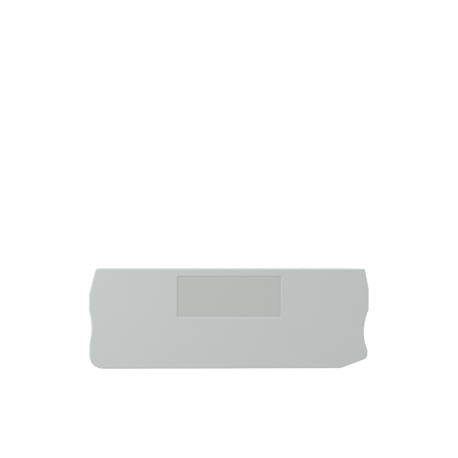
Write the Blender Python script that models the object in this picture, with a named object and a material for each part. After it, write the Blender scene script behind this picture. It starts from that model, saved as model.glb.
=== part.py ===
"""Terminal block end cover.

One injection-moulded polyamide plate that closes the open side of the last
terminal block on a mounting rail. The front is a flat panel with a rounded
edge and a shallow sunken marking field. The back is hollow: a rim runs round
it, low ribs stiffen the panel, and four round pegs press into the block.

X runs along the cover, Y across it and Z out of the front face. The cover
lies on the tips of its pegs at Z = 0, front face up, with the middle of its
outline over the origin.
"""

import math

import bmesh
import bpy
from mathutils import Vector

MM = 0.001

# Plate
LENGTH = 72.0 * MM
WIDTH = 25.7 * MM
THICKNESS = 2.2 * MM  # front face to the rim's mating face
PANEL = 1.0 * MM  # wall of the front panel
RIM = 1.1 * MM  # wall of the rim
FRONT_ROUND = 0.3 * MM  # edge of the front face
BACK_CHAMFER = 0.12 * MM
INNER_ROUND = 0.25 * MM  # root of the rim, inside the hollow
INNER_CORNER = 0.45 * MM  # upright corners inside the hollow
DRAFT = 0.02 * MM  # how much wider the rim is at its root

# Outline, seen from the front
TOP_LEFT_X = -34.31 * MM  # ends of the straight top edge
TOP_RIGHT_X = 35.0 * MM
LEFT_SHOULDER_Y = 6.4 * MM  # where each sloping shoulder meets its end
RIGHT_SHOULDER_Y = 7.6 * MM
LEFT_FOOT_X = -35.95 * MM  # left end below its notch
NOSE_X = 35.75 * MM  # right end below its notch
NOSE_Y = -10.225 * MM  # where the long chamfer starts
CHAMFER_X = 28.63 * MM  # where it reaches the bottom edge
LEFT_NOTCH_R = 14.1 * MM  # shallow finger notches in the two ends
LEFT_NOTCH_X = -35.34 * MM
LEFT_NOTCH_Y = -2.2 * MM
RIGHT_NOTCH_R = 12.2 * MM
RIGHT_NOTCH_X = 34.72 * MM
RIGHT_NOTCH_Y = -3.25 * MM

# Marking field in the front face, a little left of the middle
FIELD_MIDDLE_X = -0.03 * MM
FIELD_X = 26.8 * MM
FIELD_Y = 10.59 * MM
FIELD_TOP = 10.88 * MM  # Y of its upper edge
FIELD_DEPTH = 0.18 * MM
FIELD_CORNER = 0.35 * MM
PAD_MARGIN = 1.2 * MM  # the panel is thicker behind the field, by its depth

# Pegs, each on a boss that is flush with the rim
PEG_REACH = 2.3 * MM  # how far a peg stands out past the rim
PEG_R = 1.5 * MM
PEG_BEAD = 0.08 * MM  # snap bead near the tip
BOSS_R = 2.3 * MM
PEGS = [
    (-27.5 * MM, 7.0 * MM),
    (27.5 * MM, 7.0 * MM),
    (-24.0 * MM, -8.3 * MM),
    (22.5 * MM, -8.3 * MM),
]
ROUND_STEPS = 28

# Ribs
RIB = 0.7 * MM  # wall at its middle
RIB_HEIGHT = 0.8 * MM
LONG_RIB_Y = -3.6 * MM
CROSS_RIB_X = 17.5 * MM

# Marks left by the mould inside the hollow
EJECTOR_R = 1.1 * MM
EJECTOR_DEPTH = 0.06 * MM
EJECTORS = [
    (-31.0 * MM, 1.2 * MM),
    (-21.3 * MM, 1.6 * MM),
    (21.3 * MM, 1.6 * MM),
    (30.6 * MM, 1.2 * MM),
    (-9.2 * MM, -8.3 * MM),
    (9.2 * MM, -8.3 * MM),
]
GATE = (-3.6 * MM, -5.9 * MM)
GATE_R = 1.3 * MM
GATE_DEPTH = 0.15 * MM
GATE_NUB_R = 0.45 * MM

BACK_Z = PEG_REACH  # the rim's mating face
FRONT_Z = BACK_Z + THICKNESS
CEILING_Z = FRONT_Z - PANEL  # the panel's back, inside the hollow


# ---------------------------------------------------------------- outline


class Straight:
    """One straight side, walked with the material on its left."""

    def __init__(self, start, end):
        self.start = Vector(start)
        self.along = (Vector(end) - self.start).normalized()
        self.inner = Vector((-self.along.y, self.along.x))

    def inset(self, d):
        start = self.start + self.inner * d
        return Straight(start, start + self.along)

    def nearest(self, p):
        return self.start + self.along * (p - self.start).dot(self.along)


class Notch:
    """An arc that bites into the material from a centre outside it."""

    def __init__(self, centre, radius):
        self.centre = Vector(centre)
        self.radius = radius

    def inset(self, d):
        return Notch(self.centre, self.radius + d)

    def nearest(self, p):
        return self.centre + (p - self.centre).normalized() * self.radius


def crossing(a, b, near):
    """Where two sides cross, nearest to a given point."""
    if isinstance(a, Notch):
        a, b = b, a
    if isinstance(b, Straight):
        turn = a.along.cross(b.along)
        return a.start + a.along * ((b.start - a.start).cross(b.along) / turn)
    foot = a.nearest(b.centre)
    reach = math.sqrt(b.radius**2 - (foot - b.centre).length_squared)
    ends = [foot + a.along * reach, foot - a.along * reach]
    return min(ends, key=lambda p: (p - near).length)


def end_cover_sides():
    """The sides anticlockwise, each with the rounding and the rough place of
    the corner at its end, and the steps used to draw that rounding."""
    w = WIDTH / 2
    left, right = -LENGTH / 2, LENGTH / 2
    bottom_left = (LEFT_FOOT_X, -w)
    chamfer = (CHAMFER_X, -w)
    nose = (NOSE_X, NOSE_Y)
    shoulder_r = (right, RIGHT_SHOULDER_Y)
    top_r = (TOP_RIGHT_X, w)
    top_l = (TOP_LEFT_X, w)
    shoulder_l = (left, LEFT_SHOULDER_Y)
    notch_r = Notch((RIGHT_NOTCH_X + RIGHT_NOTCH_R, RIGHT_NOTCH_Y), RIGHT_NOTCH_R)
    notch_l = Notch((LEFT_NOTCH_X - LEFT_NOTCH_R, LEFT_NOTCH_Y), LEFT_NOTCH_R)
    below_r = (NOSE_X, RIGHT_NOTCH_Y - 4.9 * MM)
    above_r = (right, RIGHT_NOTCH_Y + 5.5 * MM)
    above_l = (left, LEFT_NOTCH_Y + 4.2 * MM)
    below_l = (LEFT_FOOT_X, LEFT_NOTCH_Y - 3.9 * MM)
    return [
        (Straight(bottom_left, chamfer), chamfer, 0.5 * MM, 2),
        (Straight(chamfer, nose), nose, 1.47 * MM, 7),
        (Straight(nose, below_r), below_r, 0.3 * MM, 2),
        (notch_r, above_r, 0.25 * MM, 2),
        (Straight(above_r, shoulder_r), shoulder_r, 1.5 * MM, 2),
        (Straight(shoulder_r, top_r), top_r, 0.35 * MM, 4),
        (Straight(top_r, top_l), top_l, 0.7 * MM, 5),
        (Straight(top_l, shoulder_l), shoulder_l, 1.5 * MM, 2),
        (Straight(shoulder_l, above_l), above_l, 0.8 * MM, 2),
        (notch_l, below_l, 1.0 * MM, 2),
        (Straight(below_l, bottom_left), bottom_left, 3.35 * MM, 11),
    ]


def arc(centre, start, end, steps):
    """Points from start to end round a centre, the short way."""
    a = math.atan2(start.y - centre.y, start.x - centre.x)
    b = math.atan2(end.y - centre.y, end.x - centre.x)
    sweep = (b - a + math.pi) % (2 * math.pi) - math.pi
    radius = (start - centre).length
    return [
        centre
        + Vector((math.cos(a + sweep * t), math.sin(a + sweep * t))) * radius
        for t in (i / steps for i in range(steps + 1))
    ]


def outline(inset, least=0.12 * MM, notch_steps=11):
    """The outline moved inwards, always with the same number of points. No
    corner gets tighter than the least rounding."""
    sides = end_cover_sides()
    roundings = []
    for i, (side, corner, radius, steps) in enumerate(sides):
        following = sides[(i + 1) % len(sides)][0]
        a, b = side.inset(inset), following.inset(inset)
        r = max(radius - inset, least)
        centre = crossing(a.inset(r), b.inset(r), Vector(corner))
        roundings.append(arc(centre, a.nearest(centre), b.nearest(centre), steps))
    points = []
    for i, rounding in enumerate(roundings):
        points += rounding
        following = sides[(i + 1) % len(sides)][0]
        if isinstance(following, Notch):
            ahead = roundings[(i + 1) % len(roundings)][0]
            points += arc(following.centre, rounding[-1], ahead, notch_steps)[1:-1]
    return points


def reach(start, direction, ring):
    """How far a ray from start runs before it meets the ring."""
    start, direction = Vector(start), Vector(direction).normalized()
    best = math.inf
    for a, b in zip(ring, ring[1:] + ring[:1]):
        edge = b - a
        turn = direction.cross(edge)
        if abs(turn) < 1e-12:
            continue
        t = (a - start).cross(edge) / turn
        u = (a - start).cross(direction) / turn
        if t > 0 and 0 <= u <= 1:
            best = min(best, t)
    return best


# ------------------------------------------------------------------ solids


def skinned(name, rings):
    """A closed solid drawn through rings of equal length, capped at both ends."""
    mesh = bpy.data.meshes.new(name)
    bm = bmesh.new()
    loops = [[bm.verts.new(p) for p in ring] for ring in rings]
    count = len(loops[0])
    for upper, lower in zip(loops, loops[1:]):
        for i in range(count):
            j = (i + 1) % count
            bm.faces.new((upper[i], upper[j], lower[j], lower[i]))
    bm.faces.new(loops[0])
    bm.faces.new(loops[-1])
    bmesh.ops.recalc_face_normals(bm, faces=bm.faces)
    bm.to_mesh(mesh)
    bm.free()
    obj = bpy.data.objects.new(name, mesh)
    bpy.context.collection.objects.link(obj)
    return obj


def plate():
    """The panel and its rim: down the outside, under the rim, up the inside."""
    levels = []  # (inset, height, least rounding of a corner)
    steps = 5
    for i in range(steps + 1):
        a = math.radians(90 * i / steps)
        inset = FRONT_ROUND * (1 - math.sin(a))
        drop = FRONT_ROUND * (1 - math.cos(a))
        levels.append((inset, FRONT_Z - drop, 0.12 * MM))
    levels.append((0, BACK_Z + BACK_CHAMFER, 0.12 * MM))
    levels.append((BACK_CHAMFER, BACK_Z, 0.12 * MM))
    levels.append((RIM - BACK_CHAMFER, BACK_Z, INNER_CORNER + BACK_CHAMFER))
    levels.append((RIM, BACK_Z + BACK_CHAMFER, INNER_CORNER))
    for i in range(4):
        a = math.radians(90 * i / 3)
        inset = RIM + DRAFT + INNER_ROUND * (1 - math.cos(a))
        drop = INNER_ROUND * (1 - math.sin(a))
        levels.append((inset, CEILING_Z - drop, INNER_CORNER + RIM + DRAFT - inset))
    rings = [
        [(p.x, p.y, z) for p in outline(inset, least)] for inset, z, least in levels
    ]
    return skinned("end_cover", rings)


def rectangle(cx, cy, half_x, half_y, corner, z, steps=4):
    """A ring round a rectangle with rounded corners."""
    points = []
    for sx, sy, first in ((1, 1, 0), (-1, 1, 90), (-1, -1, 180), (1, -1, 270)):
        for i in range(steps + 1):
            a = math.radians(first + 90 * i / steps)
            points.append(
                (
                    cx + sx * (half_x - corner) + corner * math.cos(a),
                    cy + sy * (half_y - corner) + corner * math.sin(a),
                    z,
                )
            )
    return points


def marking_field():
    """What the marking field takes away: a sloping edge, eased at top and foot."""
    cy = FIELD_TOP - FIELD_Y / 2
    profile = [
        # (how far out of the field's edge, height above the front face)
        (0.19 * MM, 0.5 * MM),
        (0.19 * MM, 0.01 * MM),
        (0.14 * MM, -0.1 * FIELD_DEPTH),
        (-0.09 * MM, -0.9 * FIELD_DEPTH),
        (-0.16 * MM, -FIELD_DEPTH),
    ]
    rings = [
        rectangle(
            FIELD_MIDDLE_X,
            cy,
            FIELD_X / 2 + out,
            FIELD_Y / 2 + out,
            FIELD_CORNER + out,
            FRONT_Z + up,
        )
        for out, up in profile
    ]
    return skinned("marking_field", rings)


def pad():
    """Extra wall behind the marking field, which keeps the panel's full strength."""
    cy = FIELD_TOP - FIELD_Y / 2
    half_x, half_y = FIELD_X / 2 + PAD_MARGIN, FIELD_Y / 2 + PAD_MARGIN
    profile = [
        (0.10 * MM, 0.3 * MM),
        (0.10 * MM, 0.0),
        (0.02 * MM, -0.2 * FIELD_DEPTH),
        (-0.01 * MM, -0.8 * FIELD_DEPTH),
        (-0.05 * MM, -FIELD_DEPTH),
    ]
    rings = [
        rectangle(
            FIELD_MIDDLE_X,
            cy,
            half_x + out,
            half_y + out,
            0.8 * MM,
            CEILING_Z + up,
        )
        for out, up in profile
    ]
    return skinned("pad", rings)


def turned(name, at, profile, steps=ROUND_STEPS):
    """A solid of revolution about a vertical axis, from (radius, height) pairs."""
    rings = []
    for radius, z in profile:
        turn = [2 * math.pi * i / steps for i in range(steps)]
        rings.append(
            [
                (at[0] + radius * math.cos(a), at[1] + radius * math.sin(a), z)
                for a in turn
            ]
        )
    return skinned(name, rings)


def peg(number, at):
    """A boss and its peg, from inside the panel down to the peg's tip."""
    root = 0.35 * MM
    base = BACK_Z
    profile = [
        (BOSS_R + root, CEILING_Z + 0.4 * MM),
        (BOSS_R + root, CEILING_Z),
        (BOSS_R + 0.12 * MM, CEILING_Z - 0.1 * MM),
        (BOSS_R + 0.02 * MM, CEILING_Z - root),
        (BOSS_R, base + 0.1 * MM),
        (BOSS_R - 0.1 * MM, base),
        (PEG_R + 0.25 * MM, base),
        (PEG_R + 0.07 * MM, base - 0.1 * MM),
        (PEG_R, base - 0.28 * MM),
        (PEG_R - 0.02 * MM, 0.95 * MM),
        (PEG_R + PEG_BEAD * 0.8, 0.8 * MM),
        (PEG_R + PEG_BEAD, 0.65 * MM),
        (PEG_R, 0.45 * MM),
        (PEG_R - 0.42 * MM, 0.07 * MM),
        (PEG_R - 0.52 * MM, 0.0),
    ]
    return turned(f"peg_{number}", at, profile)


def rib(name, start, end):
    """A low rib under the panel from start to end, with a flared root."""
    start, end = Vector(start), Vector(end)
    along = (end - start).normalized()
    side = Vector((-along.y, along.x))
    profile = [
        # (half the wall, how far below the panel's back)
        (RIB / 2 + 0.25 * MM, -0.4 * MM),
        (RIB / 2 + 0.25 * MM, 0.0),
        (RIB / 2 + 0.09 * MM, 0.08 * MM),
        (RIB / 2 + 0.02 * MM, 0.25 * MM),
        (RIB / 2 - 0.02 * MM, RIB_HEIGHT - 0.08 * MM),
        (RIB / 2 - 0.10 * MM, RIB_HEIGHT),
    ]
    rings = []
    for half, drop in profile:
        corners = [
            start - side * half,
            end - side * half,
            end + side * half,
            start + side * half,
        ]
        rings.append([(p.x, p.y, CEILING_Z - drop) for p in corners])
    return skinned(name, rings)


def ribs():
    """The long rib, the cross ribs and the ribs that tie the bosses to the rim."""
    rim_middle = outline(RIM * 0.55)

    def to_rim(start, direction):
        d = Vector(direction)
        return Vector(start) + d * reach(start, d, rim_middle)

    left, right, up, down = (-1, 0), (1, 0), (0, 1), (0, -1)
    made = [
        rib(
            "rib_long",
            to_rim((0, LONG_RIB_Y), left),
            to_rim((0, LONG_RIB_Y), right),
        )
    ]
    for name, x in (("left", -CROSS_RIB_X), ("right", CROSS_RIB_X)):
        made.append(
            rib(f"rib_cross_{name}", to_rim((x, 0), down), to_rim((x, 0), up))
        )
    pad_bottom = FIELD_TOP - FIELD_Y - PAD_MARGIN
    made.append(
        rib("rib_cross_middle", to_rim((0, -6 * MM), down), (0, pad_bottom + 0.4 * MM))
    )
    for number, (x, y) in enumerate(PEGS, 1):
        outward = left if x < 0 else right
        inner = math.copysign(CROSS_RIB_X, x)
        made.append(rib(f"rib_peg_{number}", (inner, y), to_rim((x, y), outward)))
    return made


def join(target, others, operation):
    """Adds to or cuts from the target, one piece after the other."""
    for other in others:
        other.hide_render = True
        other.display_type = "WIRE"
        step = target.modifiers.new(f"{operation.lower()}_{other.name}", "BOOLEAN")
        step.operation = operation
        step.solver = "EXACT"
        step.object = other


def settle(obj, helpers):
    """Fixes the Booleans into the mesh, and removes what they used."""
    graph = bpy.context.evaluated_depsgraph_get()
    mesh = bpy.data.meshes.new_from_object(obj.evaluated_get(graph))
    mesh.name = obj.name
    obj.modifiers.clear()
    obj.data = mesh
    for helper in helpers:
        bpy.data.objects.remove(helper, do_unlink=True)


def polyamide():
    """Light grey moulded polyamide with a fine, dull finish."""
    material = bpy.data.materials.new("light_grey_polyamide")
    material.use_nodes = True
    shader = material.node_tree.nodes["Principled BSDF"]
    shader.inputs["Base Color"].default_value = (0.53, 0.558, 0.55, 1)
    shader.inputs["Roughness"].default_value = 0.55
    shader.inputs["Metallic"].default_value = 0.0
    shader.inputs["IOR"].default_value = 1.53
    material.diffuse_color = (0.53, 0.558, 0.55, 1)
    return material


def main():
    for obj in list(bpy.data.objects):
        bpy.data.objects.remove(obj, do_unlink=True)

    cover = plate()
    added = [pad(), *ribs()]
    added += [peg(number, at) for number, at in enumerate(PEGS, 1)]
    cuts = [marking_field()]
    for number, at in enumerate(EJECTORS, 1):
        depth = [
            (EJECTOR_R, CEILING_Z - 0.3 * MM),
            (EJECTOR_R, CEILING_Z + EJECTOR_DEPTH),
        ]
        cuts.append(turned(f"ejector_{number}", at, depth, 20))
    cuts.append(
        turned(
            "gate_dimple",
            GATE,
            [
                (GATE_R, CEILING_Z - 0.3 * MM),
                (GATE_R, CEILING_Z + GATE_DEPTH * 0.5),
                (GATE_R - 0.2 * MM, CEILING_Z + GATE_DEPTH),
            ],
            20,
        )
    )
    nub = turned(
        "gate_nub",
        GATE,
        [
            (GATE_NUB_R, CEILING_Z + GATE_DEPTH + 0.2 * MM),
            (GATE_NUB_R, CEILING_Z + 0.03 * MM),
            (GATE_NUB_R * 0.75, CEILING_Z + 0.01 * MM),
        ],
        14,
    )
    join(cover, added, "UNION")
    join(cover, cuts, "DIFFERENCE")
    join(cover, [nub], "UNION")
    settle(cover, [*added, *cuts, nub])

    cover.data.materials.clear()
    cover.data.materials.append(polyamide())
    cover.data.shade_smooth()
    cover.data.set_sharp_from_angle(angle=math.radians(32))


main()
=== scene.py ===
"""Looks for the terminal block end cover: a finely rounded moulding with its
surface finishes, on a plain white table in soft light from the upper left."""

import math

import bmesh
import bpy
from mathutils import Matrix, Vector


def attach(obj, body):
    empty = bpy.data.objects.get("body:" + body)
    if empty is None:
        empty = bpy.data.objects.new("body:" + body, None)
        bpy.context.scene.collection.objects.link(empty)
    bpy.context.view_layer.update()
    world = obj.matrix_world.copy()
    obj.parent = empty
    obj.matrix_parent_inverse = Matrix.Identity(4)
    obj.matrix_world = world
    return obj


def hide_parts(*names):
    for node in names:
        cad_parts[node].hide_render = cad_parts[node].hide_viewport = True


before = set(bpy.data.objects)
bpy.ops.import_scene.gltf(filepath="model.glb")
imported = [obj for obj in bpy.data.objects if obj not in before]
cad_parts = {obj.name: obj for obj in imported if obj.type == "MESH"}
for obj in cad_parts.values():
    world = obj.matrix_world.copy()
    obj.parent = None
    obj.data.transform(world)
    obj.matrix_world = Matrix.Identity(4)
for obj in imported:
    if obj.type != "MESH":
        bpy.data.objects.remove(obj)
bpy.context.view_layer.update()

MM = 0.001

# Plate
LENGTH = 72.0 * MM
WIDTH = 25.7 * MM
THICKNESS = 2.2 * MM
PANEL = 1.0 * MM
RIM = 1.1 * MM
EASE_IN = 0.28 * MM
EASE_DOWN = 0.24 * MM
EASE_ROUND = 0.14 * MM
BACK_ROUND = 0.12 * MM
INNER_ROUND = 0.25 * MM
INNER_CORNER = 0.45 * MM
DRAFT = 0.02 * MM

# Outline, seen from the front
TOP_LEFT_X = -34.31 * MM
TOP_RIGHT_X = 35.0 * MM
LEFT_SHOULDER_Y = 6.4 * MM
RIGHT_SHOULDER_Y = 7.6 * MM
LEFT_FOOT_X = -35.95 * MM
NOSE_X = 35.75 * MM
NOSE_Y = -10.225 * MM
CHAMFER_X = 28.63 * MM
LEFT_NOTCH_R = 14.1 * MM
LEFT_NOTCH_X = -35.34 * MM
LEFT_NOTCH_Y = -2.2 * MM
RIGHT_NOTCH_R = 12.2 * MM
RIGHT_NOTCH_X = 34.72 * MM
RIGHT_NOTCH_Y = -3.25 * MM

# Marking field
FIELD_MIDDLE_X = -0.03 * MM
FIELD_X = 26.8 * MM
FIELD_Y = 10.59 * MM
FIELD_TOP = 10.88 * MM
FIELD_DEPTH = 0.18 * MM
FIELD_CORNER = 0.35 * MM
RAMP_OUT = 0.17 * MM
RAMP_IN = 0.12 * MM
RAMP_ROUND = 0.12 * MM
GUTTER = 0.30 * MM
GUTTER_DEPTH = 0.06 * MM
PAD_MARGIN = 1.2 * MM

# Pegs
PEG_REACH = 2.3 * MM
PEG_R = 1.5 * MM
PEG_BEAD = 0.08 * MM
BOSS_R = 2.3 * MM
PEGS = [
    (-27.5 * MM, 7.0 * MM),
    (27.5 * MM, 7.0 * MM),
    (-24.0 * MM, -8.3 * MM),
    (22.5 * MM, -8.3 * MM),
]

# Ribs
RIB = 0.7 * MM
RIB_HEIGHT = 0.8 * MM
LONG_RIB_Y = -3.6 * MM
CROSS_RIB_X = 17.5 * MM

# Mould marks inside the hollow
EJECTOR_R = 1.1 * MM
EJECTOR_DEPTH = 0.06 * MM
EJECTORS = [
    (-31.0 * MM, 1.2 * MM),
    (-21.3 * MM, 1.6 * MM),
    (21.3 * MM, 1.6 * MM),
    (30.6 * MM, 1.2 * MM),
    (-9.2 * MM, -8.3 * MM),
    (9.2 * MM, -8.3 * MM),
]
GATE = (-3.6 * MM, -5.9 * MM)
GATE_R = 1.3 * MM
GATE_DEPTH = 0.15 * MM
GATE_NUB_R = 0.45 * MM

BACK_Z = PEG_REACH
FRONT_Z = BACK_Z + THICKNESS
CEILING_Z = FRONT_Z - PANEL


# ---------------------------------------------------------------- outline


class Straight:
    """One straight side, walked with the material on its left."""

    def __init__(self, start, end):
        self.start = Vector(start)
        self.along = (Vector(end) - self.start).normalized()
        self.inner = Vector((-self.along.y, self.along.x))

    def inset(self, d):
        start = self.start + self.inner * d
        return Straight(start, start + self.along)

    def nearest(self, p):
        return self.start + self.along * (p - self.start).dot(self.along)


class Notch:
    """An arc that bites into the material from a centre outside it."""

    def __init__(self, centre, radius):
        self.centre = Vector(centre)
        self.radius = radius

    def inset(self, d):
        return Notch(self.centre, self.radius + d)

    def nearest(self, p):
        return self.centre + (p - self.centre).normalized() * self.radius


def crossing(a, b, near):
    """Where two sides cross, nearest to a given point."""
    if isinstance(a, Notch):
        a, b = b, a
    if isinstance(b, Straight):
        turn = a.along.cross(b.along)
        return a.start + a.along * ((b.start - a.start).cross(b.along) / turn)
    foot = a.nearest(b.centre)
    reach = math.sqrt(b.radius**2 - (foot - b.centre).length_squared)
    ends = [foot + a.along * reach, foot - a.along * reach]
    return min(ends, key=lambda p: (p - near).length)


def end_cover_sides():
    """The sides anticlockwise: side, rough place of the corner at its end,
    rounding of that corner and the steps that draw it."""
    w = WIDTH / 2
    left, right = -LENGTH / 2, LENGTH / 2
    bottom_left = (LEFT_FOOT_X, -w)
    chamfer = (CHAMFER_X, -w)
    nose = (NOSE_X, NOSE_Y)
    shoulder_r = (right, RIGHT_SHOULDER_Y)
    top_r = (TOP_RIGHT_X, w)
    top_l = (TOP_LEFT_X, w)
    shoulder_l = (left, LEFT_SHOULDER_Y)
    notch_r = Notch((RIGHT_NOTCH_X + RIGHT_NOTCH_R, RIGHT_NOTCH_Y), RIGHT_NOTCH_R)
    notch_l = Notch((LEFT_NOTCH_X - LEFT_NOTCH_R, LEFT_NOTCH_Y), LEFT_NOTCH_R)
    below_r = (NOSE_X, RIGHT_NOTCH_Y - 4.9 * MM)
    above_r = (right, RIGHT_NOTCH_Y + 5.5 * MM)
    above_l = (left, LEFT_NOTCH_Y + 4.2 * MM)
    below_l = (LEFT_FOOT_X, LEFT_NOTCH_Y - 3.9 * MM)
    return [
        (Straight(bottom_left, chamfer), chamfer, 0.5 * MM, 5),
        (Straight(chamfer, nose), nose, 1.47 * MM, 16),
        (Straight(nose, below_r), below_r, 0.3 * MM, 5),
        (notch_r, above_r, 0.25 * MM, 5),
        (Straight(above_r, shoulder_r), shoulder_r, 1.5 * MM, 5),
        (Straight(shoulder_r, top_r), top_r, 0.35 * MM, 9),
        (Straight(top_r, top_l), top_l, 0.7 * MM, 11),
        (Straight(top_l, shoulder_l), shoulder_l, 1.5 * MM, 5),
        (Straight(shoulder_l, above_l), above_l, 0.8 * MM, 5),
        (notch_l, below_l, 1.0 * MM, 5),
        (Straight(below_l, bottom_left), bottom_left, 3.35 * MM, 26),
    ]


def arc(centre, start, end, steps):
    """Points from start to end round a centre, the short way."""
    a = math.atan2(start.y - centre.y, start.x - centre.x)
    b = math.atan2(end.y - centre.y, end.x - centre.x)
    sweep = (b - a + math.pi) % (2 * math.pi) - math.pi
    radius = (start - centre).length
    return [
        centre + Vector((math.cos(a + sweep * t), math.sin(a + sweep * t))) * radius
        for t in (i / steps for i in range(steps + 1))
    ]


def outline(inset, least=0.12 * MM, notch_steps=30):
    """The outline moved inwards, always with the same number of points."""
    sides = end_cover_sides()
    roundings = []
    for i, (side, corner, radius, steps) in enumerate(sides):
        following = sides[(i + 1) % len(sides)][0]
        a, b = side.inset(inset), following.inset(inset)
        r = max(radius - inset, least)
        centre = crossing(a.inset(r), b.inset(r), Vector(corner))
        roundings.append(arc(centre, a.nearest(centre), b.nearest(centre), steps))
    points = []
    for i, rounding in enumerate(roundings):
        points += rounding
        following = sides[(i + 1) % len(sides)][0]
        if isinstance(following, Notch):
            ahead = roundings[(i + 1) % len(roundings)][0]
            points += arc(following.centre, rounding[-1], ahead, notch_steps)[1:-1]
    return points


def reach(start, direction, ring):
    """How far a ray from start runs before it meets the ring."""
    start, direction = Vector(start), Vector(direction).normalized()
    best = math.inf
    for a, b in zip(ring, ring[1:] + ring[:1]):
        edge = b - a
        turn = direction.cross(edge)
        if abs(turn) < 1e-12:
            continue
        t = (a - start).cross(edge) / turn
        u = (a - start).cross(direction) / turn
        if t > 0 and 0 <= u <= 1:
            best = min(best, t)
    return best


# ------------------------------------------------------------------ solids


def rounded(corners, steps=6):
    """A profile with its corners rounded. Each corner is (x, y, radius)."""
    points = []
    for i, (x, y, radius) in enumerate(corners):
        here = Vector((x, y))
        if radius == 0 or i in (0, len(corners) - 1):
            points.append((x, y))
            continue
        to_last = Vector(corners[i - 1][:2]) - here
        to_next = Vector(corners[i + 1][:2]) - here
        half = to_last.angle(to_next) / 2
        back = min(radius / math.tan(half), to_last.length * 0.49, to_next.length * 0.49)
        true = back * math.tan(half)
        start = here + to_last.normalized() * back
        end = here + to_next.normalized() * back
        middle = (to_last.normalized() + to_next.normalized()).normalized()
        centre = here + middle * (true / math.sin(half))
        points += [tuple(p) for p in arc(centre, start, end, steps)]
    return points


def skinned(name, rings):
    """A closed solid drawn through rings of equal length, capped at both ends."""
    mesh = bpy.data.meshes.new(name)
    bm = bmesh.new()
    loops = [[bm.verts.new(p) for p in ring] for ring in rings]
    count = len(loops[0])
    for upper, lower in zip(loops, loops[1:]):
        for i in range(count):
            j = (i + 1) % count
            bm.faces.new((upper[i], upper[j], lower[j], lower[i]))
    bm.faces.new(loops[0])
    bm.faces.new(loops[-1])
    bmesh.ops.recalc_face_normals(bm, faces=bm.faces)
    bm.to_mesh(mesh)
    bm.free()
    obj = bpy.data.objects.new(name, mesh)
    bpy.context.scene.collection.objects.link(obj)
    return obj


def plate():
    """The panel and its rim: down the outside, under the rim, up the inside."""
    inside = RIM + DRAFT
    profile = rounded(
        [
            (EASE_IN * 2, FRONT_Z, 0),
            (EASE_IN, FRONT_Z, EASE_ROUND),
            (0, FRONT_Z - EASE_DOWN, EASE_ROUND),
            (0, BACK_Z, BACK_ROUND),
            (RIM, BACK_Z, BACK_ROUND),
            (inside, CEILING_Z, INNER_ROUND),
            (inside + INNER_ROUND * 1.5, CEILING_Z, 0),
        ],
        7,
    )
    rings = []
    for inset, z in profile:
        least = 0.12 * MM if inset < RIM / 2 else INNER_CORNER + RIM - inset
        rings.append([(p.x, p.y, z) for p in outline(inset, max(least, 0.04 * MM))])
    return skinned("end_cover_moulding", rings)


def rectangle(cx, cy, half_x, half_y, corner, z, steps=8):
    """A ring round a rectangle with rounded corners."""
    points = []
    for sx, sy, first in ((1, 1, 0), (-1, 1, 90), (-1, -1, 180), (1, -1, 270)):
        for i in range(steps + 1):
            a = math.radians(first + 90 * i / steps)
            points.append(
                (
                    cx + sx * (half_x - corner) + corner * math.cos(a),
                    cy + sy * (half_y - corner) + corner * math.sin(a),
                    z,
                )
            )
    return points


def marking_field():
    """What the marking field takes away: rounded lip, sloping edge, and a fine
    gutter along its foot."""
    cy = FIELD_TOP - FIELD_Y / 2
    top, floor = FRONT_Z, FRONT_Z - FIELD_DEPTH
    foot = -RAMP_IN - GUTTER * 0.3
    lip = rounded(
        [
            (RAMP_OUT + 0.4 * MM, top + 0.002 * MM, 0),
            (RAMP_OUT, top + 0.002 * MM, RAMP_ROUND),
            (-RAMP_IN, floor, RAMP_ROUND),
            (foot, floor - GUTTER_DEPTH, 0.06 * MM),
            (foot - GUTTER * 0.3, floor - GUTTER_DEPTH, 0.06 * MM),
            (foot - GUTTER * 0.7, floor, 0.06 * MM),
            (foot - GUTTER * 0.7 - 0.3 * MM, floor, 0),
        ],
        7,
    )
    # the rounding starts on the face itself, so its flat lead-in goes
    lip = lip[1:]
    profile = [(lip[0][0], top + 0.5 * MM), *lip]
    rings = [
        rectangle(
            FIELD_MIDDLE_X,
            cy,
            FIELD_X / 2 + out,
            FIELD_Y / 2 + out,
            max(FIELD_CORNER + out, 0.05 * MM),
            z,
        )
        for out, z in profile
    ]
    return skinned("marking_field", rings)


def pad():
    """Extra wall behind the marking field, with eased edges."""
    cy = FIELD_TOP - FIELD_Y / 2
    half_x, half_y = FIELD_X / 2 + PAD_MARGIN, FIELD_Y / 2 + PAD_MARGIN
    under = CEILING_Z - FIELD_DEPTH
    profile = [(0.28 * MM, CEILING_Z + 0.3 * MM)] + rounded(
        [
            (0.28 * MM, CEILING_Z, 0),
            (0.03 * MM, CEILING_Z - 0.01 * MM, 0.16 * MM),
            (-0.03 * MM, under, 0.09 * MM),
            (-0.4 * MM, under, 0),
        ],
        4,
    )
    rings = [
        rectangle(FIELD_MIDDLE_X, cy, half_x + out, half_y + out, 0.8 * MM + out, z)
        for out, z in profile
    ]
    return skinned("pad", rings)


def turned(name, at, profile, steps=64):
    """A solid of revolution about a vertical axis, from (radius, height) pairs."""
    rings = []
    for radius, z in profile:
        turn = [2 * math.pi * i / steps for i in range(steps)]
        rings.append(
            [
                (at[0] + radius * math.cos(a), at[1] + radius * math.sin(a), z)
                for a in turn
            ]
        )
    return skinned(name, rings)


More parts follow.
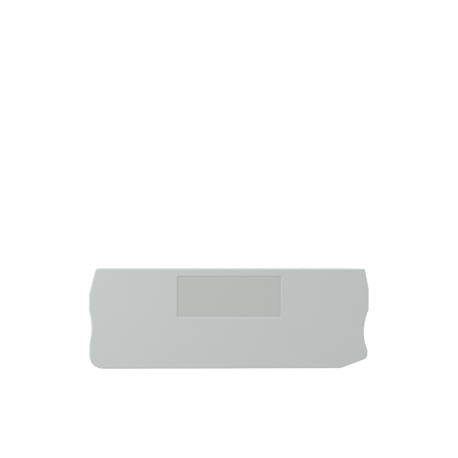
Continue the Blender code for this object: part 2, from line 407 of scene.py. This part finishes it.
def peg(number, at):
    """A boss and its peg, from inside the panel down to the peg's tip."""
    base = BACK_Z
    profile = [(BOSS_R + 0.36 * MM, CEILING_Z + 0.4 * MM)]
    profile += rounded(
        [
            (BOSS_R + 0.36 * MM, CEILING_Z, 0),
            (BOSS_R + 0.02 * MM, CEILING_Z - 0.01 * MM, 0.3 * MM),
            (BOSS_R, base, 0.12 * MM),
            (PEG_R, base, 0.26 * MM),
            (PEG_R - 0.02 * MM, 0.98 * MM, 0.3 * MM),
            (PEG_R + PEG_BEAD, 0.74 * MM, 0.25 * MM),
            (PEG_R + PEG_BEAD * 0.8, 0.60 * MM, 0.2 * MM),
            (PEG_R - 0.48 * MM, 0.0, 0.1 * MM),
            (PEG_R - 0.8 * MM, 0.0, 0),
        ],
        5,
    )
    return turned(f"peg_{number}", at, profile)


def rib(name, start, end):
    """A low rib under the panel from start to end, with a flared root."""
    start, end = Vector(start), Vector(end)
    along = (end - start).normalized()
    side = Vector((-along.y, along.x))
    profile = [(RIB / 2 + 0.28 * MM, CEILING_Z + 0.4 * MM)] + rounded(
        [
            (RIB / 2 + 0.28 * MM, CEILING_Z, 0),
            (RIB / 2 + 0.03 * MM, CEILING_Z - 0.01 * MM, 0.22 * MM),
            (RIB / 2 - 0.03 * MM, CEILING_Z - RIB_HEIGHT, 0.13 * MM),
            (RIB / 2 - 0.25 * MM, CEILING_Z - RIB_HEIGHT, 0),
        ],
        4,
    )
    rings = []
    for half, z in profile:
        corners = [
            start - side * half,
            end - side * half,
            end + side * half,
            start + side * half,
        ]
        rings.append([(p.x, p.y, z) for p in corners])
    return skinned(name, rings)


def ribs():
    """The long rib, the cross ribs and the ribs that tie the bosses to the rim."""
    rim_middle = outline(RIM * 0.55)

    def to_rim(start, direction):
        d = Vector(direction)
        return Vector(start) + d * reach(start, d, rim_middle)

    left, right, up, down = (-1, 0), (1, 0), (0, 1), (0, -1)
    made = [
        rib("rib_long", to_rim((0, LONG_RIB_Y), left), to_rim((0, LONG_RIB_Y), right))
    ]
    for name, x in (("left", -CROSS_RIB_X), ("right", CROSS_RIB_X)):
        made.append(rib(f"rib_cross_{name}", to_rim((x, 0), down), to_rim((x, 0), up)))
    pad_bottom = FIELD_TOP - FIELD_Y - PAD_MARGIN
    made.append(
        rib("rib_cross_middle", to_rim((0, -6 * MM), down), (0, pad_bottom + 0.4 * MM))
    )
    for number, (x, y) in enumerate(PEGS, 1):
        outward = left if x < 0 else right
        inner = math.copysign(CROSS_RIB_X, x)
        made.append(rib(f"rib_peg_{number}", (inner, y), to_rim((x, y), outward)))
    return made


def join(target, others, operation):
    for other in others:
        step = target.modifiers.new(f"{operation.lower()}_{other.name}", "BOOLEAN")
        step.operation = operation
        step.solver = "MANIFOLD"
        step.object = other


def settle(obj, helpers=()):
    """Fixes the modifiers into the mesh, and removes what they used."""
    graph = bpy.context.evaluated_depsgraph_get()
    mesh = bpy.data.meshes.new_from_object(obj.evaluated_get(graph))
    obj.modifiers.clear()
    obj.data = mesh
    mesh.name = obj.name
    for helper in helpers:
        bpy.data.objects.remove(helper, do_unlink=True)


def tidy(mesh):
    """Closes the hairline edges that the cuts leave, and heals split flats."""
    bm = bmesh.new()
    bm.from_mesh(mesh)
    bmesh.ops.remove_doubles(bm, verts=bm.verts, dist=0.0004 * MM)
    bmesh.ops.dissolve_limit(
        bm, angle_limit=math.radians(0.05), verts=bm.verts, edges=bm.edges
    )
    bm.to_mesh(mesh)
    bm.free()


def moulding():
    cover = plate()
    added = [pad(), *ribs()]
    added += [peg(number, at) for number, at in enumerate(PEGS, 1)]
    cuts = [marking_field()]
    for number, at in enumerate(EJECTORS, 1):
        rim = rounded(
            [
                (EJECTOR_R + 0.02 * MM, CEILING_Z - 0.3 * MM, 0),
                (EJECTOR_R, CEILING_Z + EJECTOR_DEPTH, 0.03 * MM),
                (EJECTOR_R - 0.3 * MM, CEILING_Z + EJECTOR_DEPTH, 0),
            ],
            3,
        )
        cuts.append(turned(f"ejector_{number}", at, rim, 40))
    dimple = rounded(
        [
            (GATE_R, CEILING_Z - 0.3 * MM, 0),
            (GATE_R, CEILING_Z + GATE_DEPTH, 0.14 * MM),
            (GATE_R - 0.5 * MM, CEILING_Z + GATE_DEPTH, 0),
        ],
        5,
    )
    cuts.append(turned("gate_dimple", GATE, dimple, 48))
    stub = rounded(
        [
            (GATE_NUB_R, CEILING_Z + GATE_DEPTH + 0.2 * MM, 0),
            (GATE_NUB_R, CEILING_Z + 0.02 * MM, 0.06 * MM),
            (GATE_NUB_R * 0.6, CEILING_Z + 0.035 * MM, 0),
        ],
        3,
    )
    nub = turned("gate_nub", GATE, stub, 32)
    join(cover, added, "UNION")
    join(cover, cuts, "DIFFERENCE")
    join(cover, [nub], "UNION")
    settle(cover, [*added, *cuts, nub])
    tidy(cover.data)
    return cover


# --------------------------------------------------------------- materials


class Shader:
    """A material's node tree, with short ways to add to it."""

    def __init__(self, name):
        self.material = bpy.data.materials.new(name)
        self.material.use_nodes = True
        self.tree = self.material.node_tree
        self.surface = self.tree.nodes["Principled BSDF"]
        self.place = self.add("ShaderNodeTexCoord").outputs["Object"]

    def add(self, kind, **settings):
        node = self.tree.nodes.new(kind)
        for key, value in settings.items():
            setattr(node, key, value)
        return node

    def link(self, out, socket):
        self.tree.links.new(out, socket)

    def noise(self, size, detail=2.0, roughness=0.5, seed=0.0, stretch=(1, 1, 1)):
        """Noise whose features are about this many metres across, from 0 to 1."""
        shift = self.add("ShaderNodeMapping")
        shift.inputs["Location"].default_value = (seed, seed * 0.7, seed * 0.3)
        shift.inputs["Scale"].default_value = stretch
        self.link(self.place, shift.inputs["Vector"])
        node = self.add("ShaderNodeTexNoise", noise_dimensions="3D")
        node.inputs["Scale"].default_value = 1.0 / size
        node.inputs["Detail"].default_value = detail
        node.inputs["Roughness"].default_value = roughness
        self.link(shift.outputs["Vector"], node.inputs["Vector"])
        return node.outputs["Fac"]

    def spots(self, size, seed=0.0):
        """Distance to the nearest of scattered points this far apart."""
        shift = self.add("ShaderNodeMapping")
        shift.inputs["Location"].default_value = (seed, seed, seed)
        self.link(self.place, shift.inputs["Vector"])
        node = self.add("ShaderNodeTexVoronoi", feature="F1")
        node.inputs["Scale"].default_value = 1.0 / size
        self.link(shift.outputs["Vector"], node.inputs["Vector"])
        return node.outputs["Distance"]

    def range(self, value, low, high, to_low, to_high):
        node = self.add("ShaderNodeMapRange", clamp=True)
        self.link(value, node.inputs["Value"])
        for socket, number in (
            ("From Min", low),
            ("From Max", high),
            ("To Min", to_low),
            ("To Max", to_high),
        ):
            node.inputs[socket].default_value = number
        return node.outputs["Result"]

    def total(self, a, b, operation="ADD"):
        node = self.add("ShaderNodeMath", operation=operation)
        for socket, value in zip(node.inputs, (a, b)):
            if isinstance(value, (int, float)):
                socket.default_value = value
            else:
                self.link(value, socket)
        return node.outputs[0]

    def blend(self, factor, a, b):
        node = self.add("ShaderNodeMix", data_type="RGBA")
        self.link(factor, node.inputs["Factor"])
        for socket, value in (("A", a), ("B", b)):
            target = next(
                s for s in node.inputs if s.name == socket and s.type == "RGBA"
            )
            if isinstance(value, tuple):
                target.default_value = (*value, 1)
            else:
                self.link(value, target)
        return next(s for s in node.outputs if s.type == "RGBA")

    def bump(self, height, distance, before=None):
        """Relief of this height in metres, on top of earlier relief."""
        node = self.add("ShaderNodeBump")
        node.inputs["Strength"].default_value = 1.0
        node.inputs["Distance"].default_value = distance
        self.link(height, node.inputs["Height"])
        if before:
            self.link(before, node.inputs["Normal"])
        return node.outputs["Normal"]

    def finish(self, colour, roughness, normal):
        self.link(colour, self.surface.inputs["Base Color"])
        self.link(roughness, self.surface.inputs["Roughness"])
        self.link(normal, self.surface.inputs["Normal"])
        self.surface.inputs["IOR"].default_value = 1.53
        return self.material


GREY = (0.455, 0.480, 0.473)
FIELD_GREY = (0.413, 0.438, 0.418)


def shade(colour, by):
    return tuple(c * by for c in colour)


def grained_front():
    """The front and the sides: a fine, dull spark-eroded grain, with the faint
    cloudiness of filled polyamide."""
    s = Shader("polyamide_fine_grain")
    cloud = s.noise(9 * MM, 3, 0.55, 1.3, (1, 1.6, 1))
    fleck = s.noise(0.35 * MM, 2, 0.6, 4.1)
    colour = s.blend(s.range(cloud, 0.3, 0.7, 0, 1), shade(GREY, 0.992), shade(GREY, 1.008))
    colour = s.blend(s.range(fleck, 0.35, 0.75, 0, 1), colour, shade(GREY, 1.02))
    rough = s.total(
        s.range(cloud, 0.3, 0.7, 0.0, 0.04), s.range(fleck, 0.3, 0.7, 0.36, 0.42)
    )
    grain = s.noise(0.11 * MM, 2.5, 0.6, 2.7)
    pits = s.range(s.spots(0.16 * MM, 0.9), 0.05, 0.6, 0.0, 1.0)
    normal = s.bump(grain, 0.008 * MM)
    normal = s.bump(pits, 0.003 * MM, normal)
    normal = s.bump(s.noise(6 * MM, 1, 0.5, 7.7), 0.004 * MM, normal)
    return s.finish(colour, rough, normal)


def smooth_field():
    """The marking field: a smoother floor that takes print and labels."""
    s = Shader("polyamide_smooth_field")
    cloud = s.noise(7 * MM, 3, 0.5, 5.3)
    tone = FIELD_GREY
    colour = s.blend(s.range(cloud, 0.3, 0.7, 0, 1), shade(tone, 0.994), shade(tone, 1.006))
    rough = s.range(s.noise(1.1 * MM, 3, 0.6, 3.3), 0.3, 0.7, 0.40, 0.46)
    normal = s.bump(s.noise(0.09 * MM, 2, 0.5, 8.2), 0.002 * MM)
    return s.finish(colour, rough, normal)


def moulded_back():
    """The back: smooth from the mould's core, with faint tool marks and flow."""
    s = Shader("polyamide_moulded_back")
    flow = s.noise(5 * MM, 4, 0.55, 6.1, (0.45, 1.4, 1))
    colour = s.blend(s.range(flow, 0.3, 0.7, 0, 1), shade(GREY, 0.965), shade(GREY, 0.995))
    marks = s.noise(0.16 * MM, 2, 0.5, 9.4, (0.05, 1, 1))
    rough = s.total(
        s.range(flow, 0.3, 0.7, 0.36, 0.44), s.range(marks, 0.3, 0.7, 0, 0.05)
    )
    normal = s.bump(marks, 0.004 * MM)
    normal = s.bump(s.noise(0.12 * MM, 2, 0.5, 2.2), 0.0035 * MM, normal)
    return s.finish(colour, rough, normal)


def dress(cover):
    """Gives each face the finish of the mould face that made it."""
    mesh = cover.data
    mesh.materials.clear()
    for material in (grained_front(), smooth_field(), moulded_back()):
        mesh.materials.append(material)
    half_x, half_y = FIELD_X / 2 - 0.06 * MM, FIELD_Y / 2 - 0.06 * MM
    cy = FIELD_TOP - FIELD_Y / 2
    for face in mesh.polygons:
        x, y, z = face.center
        in_field = abs(x - FIELD_MIDDLE_X) < half_x and abs(y - cy) < half_y
        if z < BACK_Z + 0.02 * MM:
            face.material_index = 2
        elif z > CEILING_Z + EJECTOR_DEPTH + GATE_DEPTH:
            low = z < FRONT_Z - FIELD_DEPTH * 0.8
            face.material_index = 1 if in_field and low else 0
        else:
            face.material_index = 2 if inside_rim(x, y) else 0


def inside_rim(x, y):
    ring = dress.ring
    inside = False
    for a, b in zip(ring, ring[1:] + ring[:1]):
        if (a.y > y) != (b.y > y) and x < (b.x - a.x) * (y - a.y) / (b.y - a.y) + a.x:
            inside = not inside
    return inside


dress.ring = outline(RIM * 0.5, notch_steps=8)


# ------------------------------------------------------------------- scene

cover = moulding()
dress(cover)
cover.data.shade_smooth()
cover.data.set_sharp_from_angle(angle=math.radians(35))
weighted = cover.modifiers.new("weighted_normals", "WEIGHTED_NORMAL")
weighted.mode = "FACE_AREA"
weighted.weight = 50
weighted.keep_sharp = True
settle(cover)
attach(cover, "root")
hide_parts("end_cover")

# Table: a wide white sheet that curves up far away, with a glow of its own


def sheet():
    """A round sheet, flat at first and then curving up, as one smooth surface."""
    flat, bend, turn = 1.6, 1.2, math.radians(50)
    profile = [(r, 0.0) for r in (0.2, 0.6, 1.1, flat)]
    profile += [
        (flat + bend * math.sin(a), bend * (1 - math.cos(a)))
        for a in (turn * i / 12 for i in range(1, 13))
    ]
    bm = bmesh.new()
    rings = [
        [
            bm.verts.new((r * math.cos(a), r * math.sin(a), z))
            for a in (2 * math.pi * i / 64 for i in range(64))
        ]
        for r, z in profile
    ]
    bm.faces.new(rings[0])
    for inner, outer in zip(rings, rings[1:]):
        for i in range(64):
            j = (i + 1) % 64
            bm.faces.new((inner[i], outer[i], outer[j], inner[j]))
    mesh = bpy.data.meshes.new("table")
    bm.to_mesh(mesh)
    bm.free()
    mesh.shade_smooth()
    return mesh


def white_sheet():
    """White card that glows, which is painted light. Its glow evens out the lamps' fall-off
    and is raised in bands just past the cover's bottom edge and right end, where the
    cover's own shadow falls, so that it stays just white round the cover and far away."""
    s = Shader("white_sheet")
    parts = s.add("ShaderNodeSeparateXYZ")
    s.link(s.place, parts.inputs["Vector"])
    away = s.add("ShaderNodeVectorMath", operation="LENGTH")
    s.link(s.place, away.inputs["Vector"])
    near = GLOW
    # Painted light: the glow is raised in a band just past the cover's bottom edge (Y -10
    # to -25 mm) and past its right end (X 30 to 51 mm), where the cover's own shadow falls.
    # It is lowered past the brightly lit left end, and graded from bottom to top against
    # the lamps' fall-off.
    for axis, low, high, at_low, at_high in (
        ("X", -38, -30, -0.105, 0),
        ("X", 30, 38, 0, 0.333),
        ("X", 43, 51, 0, -0.333),
        ("Y", -14, -10, 0.272, 0),
        ("Y", -25, -18, -0.272, 0),
        ("Y", -16, 16, 0.094, -0.094),
    ):
        step = s.range(parts.outputs[axis], low * MM, high * MM, at_low, at_high)
        near = s.total(step, near)
    far = s.range(away.outputs["Value"], 0.07, 0.7, 0, 1)
    gap = s.total(FAR_GLOW, near, "SUBTRACT")
    s.link(
        s.total(near, s.total(gap, far, "MULTIPLY")),
        s.surface.inputs["Emission Strength"],
    )
    s.surface.inputs["Base Color"].default_value = (0.8, 0.8, 0.8, 1)
    s.surface.inputs["Roughness"].default_value = 0.9
    s.surface.inputs["Specular IOR Level"].default_value = 0.1
    s.surface.inputs["Emission Color"].default_value = (1, 1, 1, 1)
    return s.material


# How strongly the sheet glows round the cover and far away: painted light, not a lamp
GLOW = 0.293
FAR_GLOW = 0.6
table = bpy.data.objects.new("table", sheet())
bpy.context.scene.collection.objects.link(table)
table.location.z = -0.03 * MM
table.data.materials.append(white_sheet())

# Room light
world = bpy.data.worlds.new("studio")
bpy.context.scene.world = world
world.use_nodes = True
sky = world.node_tree.nodes["Background"]
sky.inputs["Color"].default_value = (1, 1, 1, 1)
sky.inputs["Strength"].default_value = 0.5375


def softbox(name, place, aim, size, watts):
    light = bpy.data.lights.new(name, "AREA")
    light.shape = "SQUARE"
    light.size = size
    light.energy = watts
    lamp = bpy.data.objects.new(name, light)
    bpy.context.scene.collection.objects.link(lamp)
    lamp.location = place
    lamp.rotation_mode = "QUATERNION"
    lamp.rotation_quaternion = (Vector(aim) - Vector(place)).to_track_quat("-Z", "Y")
    return lamp


softbox("near_left", (-0.16, 0.05, 0.30), (0, 0, 0), 0.14, 0.384)
softbox("far_left", (-0.60, 0.10, 0.62), (0, 0, 0), 0.22, 0.612)
softbox("top", (0.0, 0.60, 0.62), (0, 0, 0), 0.22, 2.216)

# Camera: close to straight down, a little to the left, with the cover low in
# the frame as in the photograph
DISTANCE = 0.400
LENS_PER_DISTANCE = 3.8845 / MM * 36 / 458  # millimetres of lens per metre
TURN = math.asin(0.114 * DISTANCE)
ROLL = 0.00157
target = Vector((-0.173 * MM, 23.06 * MM, FRONT_Z - 0.3 * MM))
look = Vector((math.sin(TURN), 0, -math.cos(TURN)))
right = Vector((math.cos(TURN), 0, math.sin(TURN)))
up = Vector((0, 1, 0))
right, up = (
    right * math.cos(ROLL) + up * math.sin(ROLL),
    up * math.cos(ROLL) - right * math.sin(ROLL),
)
camera = bpy.data.objects.new("camera", bpy.data.cameras.new("camera"))
bpy.context.scene.collection.objects.link(camera)
camera.data.lens = LENS_PER_DISTANCE * DISTANCE
camera.data.sensor_width = 36
camera.data.clip_start = 0.01
camera.data.clip_end = 20
camera.matrix_world = Matrix.Translation(target - look * DISTANCE) @ Matrix(
    (right, up, -look)
).transposed().to_4x4()
bpy.context.scene.camera = camera

bpy.context.scene.view_settings.view_transform = "Standard"
bpy.context.scene.view_settings.look = "None"
